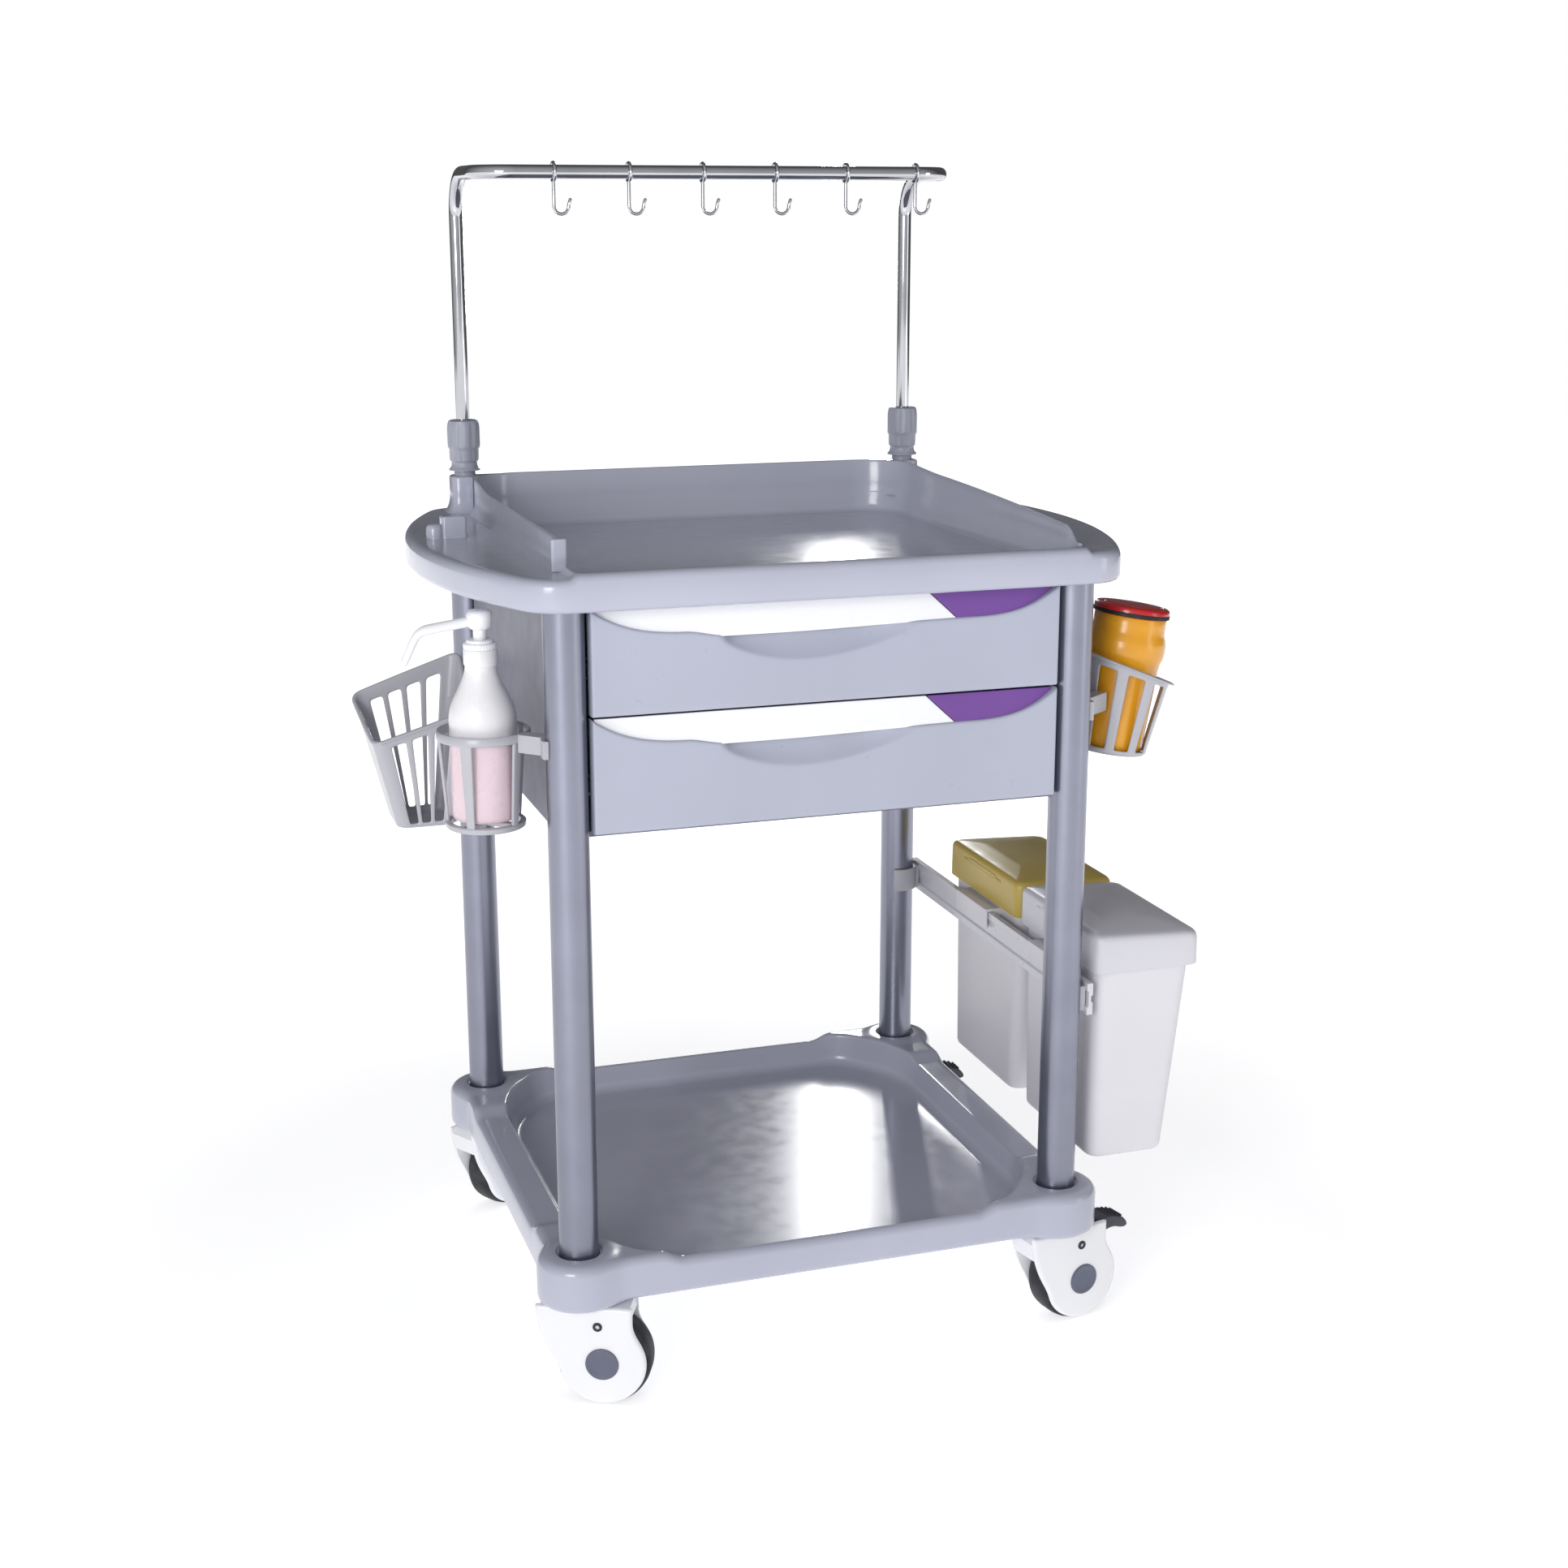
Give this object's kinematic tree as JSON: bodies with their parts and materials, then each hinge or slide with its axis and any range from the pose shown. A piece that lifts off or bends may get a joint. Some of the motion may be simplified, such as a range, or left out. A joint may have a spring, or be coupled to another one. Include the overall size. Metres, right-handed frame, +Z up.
{
  "type": "medication cart",
  "caption": "Medication cart: moulded base and worktop on aluminium columns, drawers, infusion frame with hooks, side bins, basket, sharps holder and pump bottle, on swivel casters",
  "frame": {"origin": "on the floor, under the middle of the four columns", "axes": "+X to the cart's right seen from its front, +Y to its back, +Z up"},
  "size_m": [0.8488, 0.5972, 1.2588],
  "materials": {
    "body_plastic": "moulded ABS, satin sheen",
    "column_aluminium": "silver anodised extrusion",
    "cabinet_plastic": "fine moulded texture",
    "zinc_steel": "zinc plated",
    "collar_plastic": "moulded, ribbed grip",
    "rail_enamel": "powder coat",
    "holder_plastic": "moulded, light satin",
    "drawer_box_plastic": "moulded",
    "drawer_front_plastic": "moulded ABS, satin",
    "label_strip": "clear cover over a blank white card",
    "accent_purple": "moulded, satin",
    "chrome_steel": "bright chrome plate",
    "caster_cover": "moulded, glossy",
    "caster_cap": "moulded",
    "caster_tyre": "rubber tread",
    "pedal_plastic": "moulded",
    "bin_plastic": "moulded, light texture",
    "lid_grey": "moulded",
    "lid_yellow": "moulded",
    "bottle_plastic": "translucent blown bottle",
    "pump_plastic": "moulded, glossy",
    "sharps_yellow": "moulded",
    "sharps_red": "moulded"
  },
  "bodies": {
    "chassis": {"base_tray": "body_plastic", "column_front_left": "column_aluminium", "column_front_right": "column_aluminium", "column_back_left": "column_aluminium", "column_back_right": "column_aluminium", "worktop": "body_plastic", "guard_rail": "body_plastic", "cabinet_sides": "cabinet_plastic", "cabinet_back": "cabinet_plastic", "cabinet_floor": "cabinet_plastic", "slide_rails": "zinc_steel", "column_fasteners": "zinc_steel", "iv_sockets": "collar_plastic", "bin_rail": "rail_enamel", "accessory_clamps": "holder_plastic", "bottle_holder": "holder_plastic", "basket": "holder_plastic", "sharps_holder": "holder_plastic", "bottle": "bottle_plastic", "pump_collar": "pump_plastic", "sharps_container": "sharps_yellow"},
    "caster_front_left": {"caster_front_left_fork": "caster_cover", "caster_front_left_axle_set": "caster_cap"},
    "wheel_front_left": {"caster_front_left_wheel": "caster_tyre"},
    "caster_front_right": {"caster_front_right_fork": "caster_cover", "caster_front_right_axle_set": "caster_cap"},
    "wheel_front_right": {"caster_front_right_wheel": "caster_tyre"},
    "brake_pedal_front_right": {"brake_pedal_front_right": "pedal_plastic"},
    "caster_back_left": {"caster_back_left_fork": "caster_cover", "caster_back_left_axle_set": "caster_cap"},
    "wheel_back_left": {"caster_back_left_wheel": "caster_tyre"},
    "caster_back_right": {"caster_back_right_fork": "caster_cover", "caster_back_right_axle_set": "caster_cap"},
    "wheel_back_right": {"caster_back_right_wheel": "caster_tyre"},
    "brake_pedal_back_right": {"brake_pedal_back_right": "pedal_plastic"},
    "drawer_lower": {"drawer_lower_box": "drawer_box_plastic", "drawer_lower_front": "drawer_front_plastic", "drawer_lower_label_strip": "label_strip", "drawer_lower_accent": "accent_purple", "drawer_lower_runners": "zinc_steel"},
    "drawer_upper": {"drawer_upper_box": "drawer_box_plastic", "drawer_upper_front": "drawer_front_plastic", "drawer_upper_label_strip": "label_strip", "drawer_upper_accent": "accent_purple", "drawer_upper_runners": "zinc_steel"},
    "iv_frame": {"iv_frame": "chrome_steel"},
    "collar_left": {"collar_left": "collar_plastic"},
    "collar_right": {"collar_right": "collar_plastic"},
    "hook_1": {"hook_1": "chrome_steel"},
    "hook_2": {"hook_2": "chrome_steel"},
    "hook_3": {"hook_3": "chrome_steel"},
    "hook_4": {"hook_4": "chrome_steel"},
    "hook_5": {"hook_5": "chrome_steel"},
    "hook_6": {"hook_6": "chrome_steel"},
    "bin_front": {"bin_front": "bin_plastic"},
    "bin_front_lid": {"bin_front_lid": "lid_grey"},
    "bin_back": {"bin_back": "bin_plastic"},
    "bin_back_lid": {"bin_back_lid": "lid_yellow"},
    "pump_head": {"pump_head": "pump_plastic"},
    "sharps_lid": {"sharps_lid": "sharps_red"}
  },
  "joints": [
    {"name": "swivel_front_left", "type": "hinge", "parent": "chassis", "child": "caster_front_left", "pos_m": [-0.27, -0.245, 0.115], "axis": [0, 0, 1], "continuous": true},
    {"name": "roll_front_left", "type": "hinge", "parent": "caster_front_left", "child": "wheel_front_left", "pos_m": [-0.24644, -0.25599, 0.05], "axis": [0.4226, 0.9063, 0], "continuous": true},
    {"name": "swivel_front_right", "type": "hinge", "parent": "chassis", "child": "caster_front_right", "pos_m": [0.27, -0.245, 0.115], "axis": [0, 0, 1], "continuous": true},
    {"name": "roll_front_right", "type": "hinge", "parent": "caster_front_right", "child": "wheel_front_right", "pos_m": [0.29543, -0.23959, 0.05], "axis": [-0.2079, 0.9781, 0], "continuous": true},
    {"name": "brake_front_right", "type": "hinge", "parent": "caster_front_right", "child": "brake_pedal_front_right", "pos_m": [0.32086, -0.23419, 0.102], "axis": [-0.2079, 0.9781, 0], "range_deg": [0, 10]},
    {"name": "swivel_back_left", "type": "hinge", "parent": "chassis", "child": "caster_back_left", "pos_m": [-0.27, 0.245, 0.115], "axis": [0, 0, 1], "continuous": true},
    {"name": "roll_back_left", "type": "hinge", "parent": "caster_back_left", "child": "wheel_back_left", "pos_m": [-0.24748, 0.258, 0.05], "axis": [-0.5, 0.866, 0], "continuous": true},
    {"name": "swivel_back_right", "type": "hinge", "parent": "chassis", "child": "caster_back_right", "pos_m": [0.27, 0.245, 0.115], "axis": [0, 0, 1], "continuous": true},
    {"name": "roll_back_right", "type": "hinge", "parent": "caster_back_right", "child": "wheel_back_right", "pos_m": [0.296, 0.245, 0.05], "axis": [0, 1, 0], "continuous": true},
    {"name": "brake_back_right", "type": "hinge", "parent": "caster_back_right", "child": "brake_pedal_back_right", "pos_m": [0.322, 0.245, 0.102], "axis": [0, 1, 0], "range_deg": [0, 10]},
    {"name": "slide_drawer_lower", "type": "slide", "parent": "chassis", "child": "drawer_lower", "axis": [0, -1, 0], "range_m": [0, 0.33]},
    {"name": "slide_drawer_upper", "type": "slide", "parent": "chassis", "child": "drawer_upper", "axis": [0, -1, 0], "range_m": [0, 0.33]},
    {"name": "iv_frame_lift", "type": "slide", "parent": "chassis", "child": "iv_frame", "axis": [0, 0, 1], "range_m": [0, 0.25]},
    {"name": "collar_left_turn", "type": "hinge", "parent": "chassis", "child": "collar_left", "pos_m": [-0.27, 0.245, 0.918], "axis": [0, 0, 1], "range_deg": [0, 90]},
    {"name": "collar_right_turn", "type": "hinge", "parent": "chassis", "child": "collar_right", "pos_m": [0.27, 0.245, 0.918], "axis": [0, 0, 1], "range_deg": [0, 90]},
    {"name": "hook_1_swing", "type": "hinge", "parent": "iv_frame", "child": "hook_1", "pos_m": [-0.189, 0.105, 1.247], "axis": [1, 0, 0], "range_deg": [-70, 70]},
    {"name": "hook_2_swing", "type": "hinge", "parent": "iv_frame", "child": "hook_2", "pos_m": [-0.1058, 0.105, 1.247], "axis": [1, 0, 0], "range_deg": [-70, 70]},
    {"name": "hook_3_swing", "type": "hinge", "parent": "iv_frame", "child": "hook_3", "pos_m": [-0.0226, 0.105, 1.247], "axis": [1, 0, 0], "range_deg": [-70, 70]},
    {"name": "hook_4_swing", "type": "hinge", "parent": "iv_frame", "child": "hook_4", "pos_m": [0.0606, 0.105, 1.247], "axis": [1, 0, 0], "range_deg": [-70, 70]},
    {"name": "hook_5_swing", "type": "hinge", "parent": "iv_frame", "child": "hook_5", "pos_m": [0.1438, 0.105, 1.247], "axis": [1, 0, 0], "range_deg": [-70, 70]},
    {"name": "hook_6_swing", "type": "hinge", "parent": "iv_frame", "child": "hook_6", "pos_m": [0.227, 0.105, 1.247], "axis": [1, 0, 0], "range_deg": [-70, 70]},
    {"name": "bin_front_lift", "type": "slide", "parent": "chassis", "child": "bin_front", "axis": [0, 0, 1], "range_m": [0, 0.03]},
    {"name": "bin_front_lid_hinge", "type": "hinge", "parent": "bin_front", "child": "bin_front_lid", "pos_m": [0.307, -0.155, 0.437], "axis": [0, -1, 0], "range_deg": [0, 80]},
    {"name": "bin_back_lift", "type": "slide", "parent": "chassis", "child": "bin_back", "axis": [0, 0, 1], "range_m": [0, 0.03]},
    {"name": "bin_back_lid_hinge", "type": "hinge", "parent": "bin_back", "child": "bin_back_lid", "pos_m": [0.307, 0.055, 0.437], "axis": [0, -1, 0], "range_deg": [0, 80]},
    {"name": "pump_press", "type": "slide", "parent": "chassis", "child": "pump_head", "axis": [0, 0, -1], "range_m": [0, 0.01], "stiffness_N_per_m": 400, "springref_m": -0.01},
    {"name": "sharps_lid_turn", "type": "hinge", "parent": "chassis", "child": "sharps_lid", "pos_m": [0.35, -0.175, 0.638], "axis": [0.1564, 0, 0.9877], "range_deg": [0, 90]}
  ]
}
